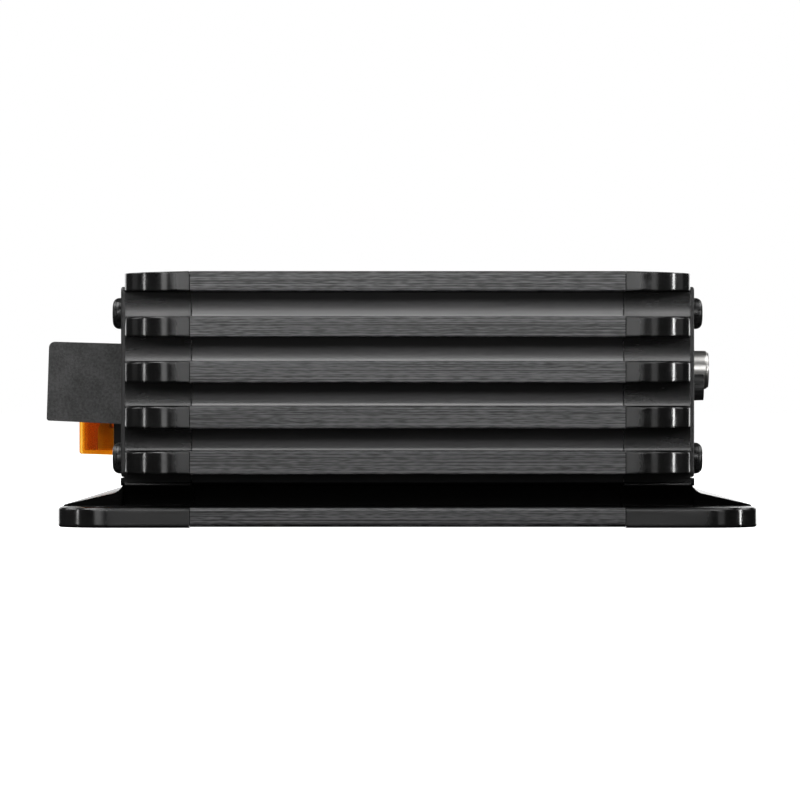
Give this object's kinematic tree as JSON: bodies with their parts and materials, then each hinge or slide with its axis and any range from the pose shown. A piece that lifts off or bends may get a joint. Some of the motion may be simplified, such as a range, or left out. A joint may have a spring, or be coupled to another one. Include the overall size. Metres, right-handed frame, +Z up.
{
  "type": "car amplifier",
  "caption": "Car audio amplifier: brushed black finned heatsink between gloss end pieces with screw flanges, wire clamps and blade fuses on one side, phono inputs and controls on the other.",
  "frame": {"origin": "centre of the four mounting holes, on the plane that the feet stand on", "axes": "+Z up out of the base, +Y along the longer side, away from the finned end in the picture, +X towards the input side"},
  "size_m": [0.1625, 0.23, 0.057],
  "materials": {
    "brushed_black_aluminium": "black anodised, brushed along its length",
    "gloss_black_plastic": "moulded, gloss black",
    "black_painted_steel": "satin black powder coat",
    "black_screw_steel": "black oxide",
    "zinc_plated_steel": "zinc plated",
    "circuit_board": "green solder mask",
    "ferrite": "matt grey ferrite",
    "enamelled_copper": "enamelled copper wire",
    "capacitor_sleeve": "shrink sleeve",
    "black_epoxy": "matt moulding",
    "grey_silicone": "thermal pad",
    "grey_terminal_plastic": "glass-filled, matt",
    "black_knob_plastic": "matt black",
    "black_plastic": "satin black",
    "nickel": "bright nickel plate",
    "white_insulator": "satin white",
    "brass_contact": "bright brass",
    "black_oxide_grub": "black oxide",
    "amber_plastic": "clear amber",
    "fuse_metal": "tinned zinc strip",
    "indicator_lens": "clear tinted lens"
  },
  "bodies": {
    "root": {"heatsink_extrusion": "brushed_black_aluminium", "end_cap_input_side": "gloss_black_plastic", "end_cap_power_side": "gloss_black_plastic", "power_panel": "black_painted_steel", "input_panel": "black_painted_steel", "power_panel_screws": "black_screw_steel", "input_panel_screws": "black_screw_steel", "bottom_plate": "black_painted_steel", "bottom_screws": "black_screw_steel", "board_standoffs": "zinc_plated_steel", "board_screws": "zinc_plated_steel", "main_board": "circuit_board", "preamp_board": "circuit_board", "transformer_core": "ferrite", "transformer_winding": "enamelled_copper", "choke_cores": "ferrite", "choke_windings": "enamelled_copper", "input_capacitors": "capacitor_sleeve", "rail_capacitors": "capacitor_sleeve", "supply_transistors": "black_epoxy", "output_transistors": "black_epoxy", "thermal_pads": "grey_silicone", "clamp_bars": "zinc_plated_steel", "clamp_screws": "zinc_plated_steel", "rca_housing": "black_plastic", "rca_shells": "nickel", "rca_insulators": "white_insulator", "rca_contacts": "brass_contact", "pot_bodies": "zinc_plated_steel", "switch_bodies": "zinc_plated_steel", "remote_socket": "black_plastic", "indicator_leds": "indicator_lens", "power_terminal_block": "grey_terminal_plastic", "speaker_terminal_block": "grey_terminal_plastic", "terminal_clamps": "brass_contact", "fuse_holder": "black_plastic", "fuse_contacts": "brass_contact"},
    "gain_knob": {"gain_knob": "black_knob_plastic"},
    "low_pass_knob": {"low_pass_knob": "black_knob_plastic"},
    "bass_boost_knob": {"bass_boost_knob": "black_knob_plastic"},
    "crossover_switch": {"crossover_switch_slider": "black_knob_plastic"},
    "input_level_switch": {"input_level_switch_slider": "black_knob_plastic"},
    "fuse_1": {"fuse_1_body": "amber_plastic", "fuse_1_element": "fuse_metal"},
    "fuse_2": {"fuse_2_body": "amber_plastic", "fuse_2_element": "fuse_metal"},
    "supply_saddle": {"supply_saddle": "brass_contact"},
    "supply_screw": {"supply_screw": "black_oxide_grub"},
    "remote_saddle": {"remote_saddle": "brass_contact"},
    "remote_screw": {"remote_screw": "black_oxide_grub"},
    "ground_saddle": {"ground_saddle": "brass_contact"},
    "ground_screw": {"ground_screw": "black_oxide_grub"},
    "speaker_1_saddle": {"speaker_1_saddle": "brass_contact"},
    "speaker_1_screw": {"speaker_1_screw": "black_oxide_grub"},
    "speaker_2_saddle": {"speaker_2_saddle": "brass_contact"},
    "speaker_2_screw": {"speaker_2_screw": "black_oxide_grub"},
    "speaker_3_saddle": {"speaker_3_saddle": "brass_contact"},
    "speaker_3_screw": {"speaker_3_screw": "black_oxide_grub"},
    "speaker_4_saddle": {"speaker_4_saddle": "brass_contact"},
    "speaker_4_screw": {"speaker_4_screw": "black_oxide_grub"}
  },
  "joints": [
    {"name": "gain_turn", "type": "hinge", "parent": "root", "child": "gain_knob", "pos_m": [0.06, -0.051, 0.0314], "axis": [1, 0, 0], "range_deg": [-140, 140]},
    {"name": "low_pass_turn", "type": "hinge", "parent": "root", "child": "low_pass_knob", "pos_m": [0.06, -0.039, 0.0314], "axis": [1, 0, 0], "range_deg": [-140, 140]},
    {"name": "bass_boost_turn", "type": "hinge", "parent": "root", "child": "bass_boost_knob", "pos_m": [0.06, -0.027, 0.0314], "axis": [1, 0, 0], "range_deg": [-140, 140]},
    {"name": "crossover_switch_slide", "type": "slide", "parent": "root", "child": "crossover_switch", "axis": [0, 1, 0], "range_m": [-0.0024, 0.0024]},
    {"name": "input_level_switch_slide", "type": "slide", "parent": "root", "child": "input_level_switch", "axis": [0, 1, 0], "range_m": [-0.0024, 0.0024]},
    {"name": "fuse_1_pull", "type": "slide", "parent": "root", "child": "fuse_1", "axis": [-1, 0, 0], "range_m": [0, 0.014]},
    {"name": "fuse_2_pull", "type": "slide", "parent": "root", "child": "fuse_2", "axis": [-1, 0, 0], "range_m": [0, 0.014]},
    {"name": "supply_clamp_travel", "type": "slide", "parent": "root", "child": "supply_saddle", "axis": [0, 0, 1], "range_m": [-0.005, 0]},
    {"name": "supply_screw_turn", "type": "hinge", "parent": "supply_saddle", "child": "supply_screw", "pos_m": [-0.0755, -0.052, 0.038], "axis": [0, 0, 1], "range_deg": [-2250, 0]},
    {"name": "remote_clamp_travel", "type": "slide", "parent": "root", "child": "remote_saddle", "axis": [0, 0, 1], "range_m": [-0.003, 0]},
    {"name": "remote_screw_turn", "type": "hinge", "parent": "remote_saddle", "child": "remote_screw", "pos_m": [-0.0755, -0.037, 0.036], "axis": [0, 0, 1], "range_deg": [-2160, 0]},
    {"name": "ground_clamp_travel", "type": "slide", "parent": "root", "child": "ground_saddle", "axis": [0, 0, 1], "range_m": [-0.005, 0]},
    {"name": "ground_screw_turn", "type": "hinge", "parent": "ground_saddle", "child": "ground_screw", "pos_m": [-0.0755, -0.022, 0.038], "axis": [0, 0, 1], "range_deg": [-2250, 0]},
    {"name": "speaker_1_clamp_travel", "type": "slide", "parent": "root", "child": "speaker_1_saddle", "axis": [0, 0, 1], "range_m": [-0.0035, 0]},
    {"name": "speaker_1_screw_turn", "type": "hinge", "parent": "speaker_1_saddle", "child": "speaker_1_screw", "pos_m": [-0.0725, 0.04475, 0.036], "axis": [0, 0, 1], "range_deg": [-2100, 0]},
    {"name": "speaker_2_clamp_travel", "type": "slide", "parent": "root", "child": "speaker_2_saddle", "axis": [0, 0, 1], "range_m": [-0.0035, 0]},
    {"name": "speaker_2_screw_turn", "type": "hinge", "parent": "speaker_2_saddle", "child": "speaker_2_screw", "pos_m": [-0.0725, 0.05625, 0.036], "axis": [0, 0, 1], "range_deg": [-2100, 0]},
    {"name": "speaker_3_clamp_travel", "type": "slide", "parent": "root", "child": "speaker_3_saddle", "axis": [0, 0, 1], "range_m": [-0.0035, 0]},
    {"name": "speaker_3_screw_turn", "type": "hinge", "parent": "speaker_3_saddle", "child": "speaker_3_screw", "pos_m": [-0.0725, 0.06775, 0.036], "axis": [0, 0, 1], "range_deg": [-2100, 0]},
    {"name": "speaker_4_clamp_travel", "type": "slide", "parent": "root", "child": "speaker_4_saddle", "axis": [0, 0, 1], "range_m": [-0.0035, 0]},
    {"name": "speaker_4_screw_turn", "type": "hinge", "parent": "speaker_4_saddle", "child": "speaker_4_screw", "pos_m": [-0.0725, 0.07925, 0.036], "axis": [0, 0, 1], "range_deg": [-2100, 0]}
  ],
  "couplings": [
    {"joint": "supply_screw_turn", "follows": "supply_clamp_travel", "rad_per_m": 7854},
    {"joint": "remote_screw_turn", "follows": "remote_clamp_travel", "rad_per_m": 12566},
    {"joint": "ground_screw_turn", "follows": "ground_clamp_travel", "rad_per_m": 7854},
    {"joint": "speaker_1_screw_turn", "follows": "speaker_1_clamp_travel", "rad_per_m": 10472},
    {"joint": "speaker_2_screw_turn", "follows": "speaker_2_clamp_travel", "rad_per_m": 10472},
    {"joint": "speaker_3_screw_turn", "follows": "speaker_3_clamp_travel", "rad_per_m": 10472},
    {"joint": "speaker_4_screw_turn", "follows": "speaker_4_clamp_travel", "rad_per_m": 10472}
  ]
}
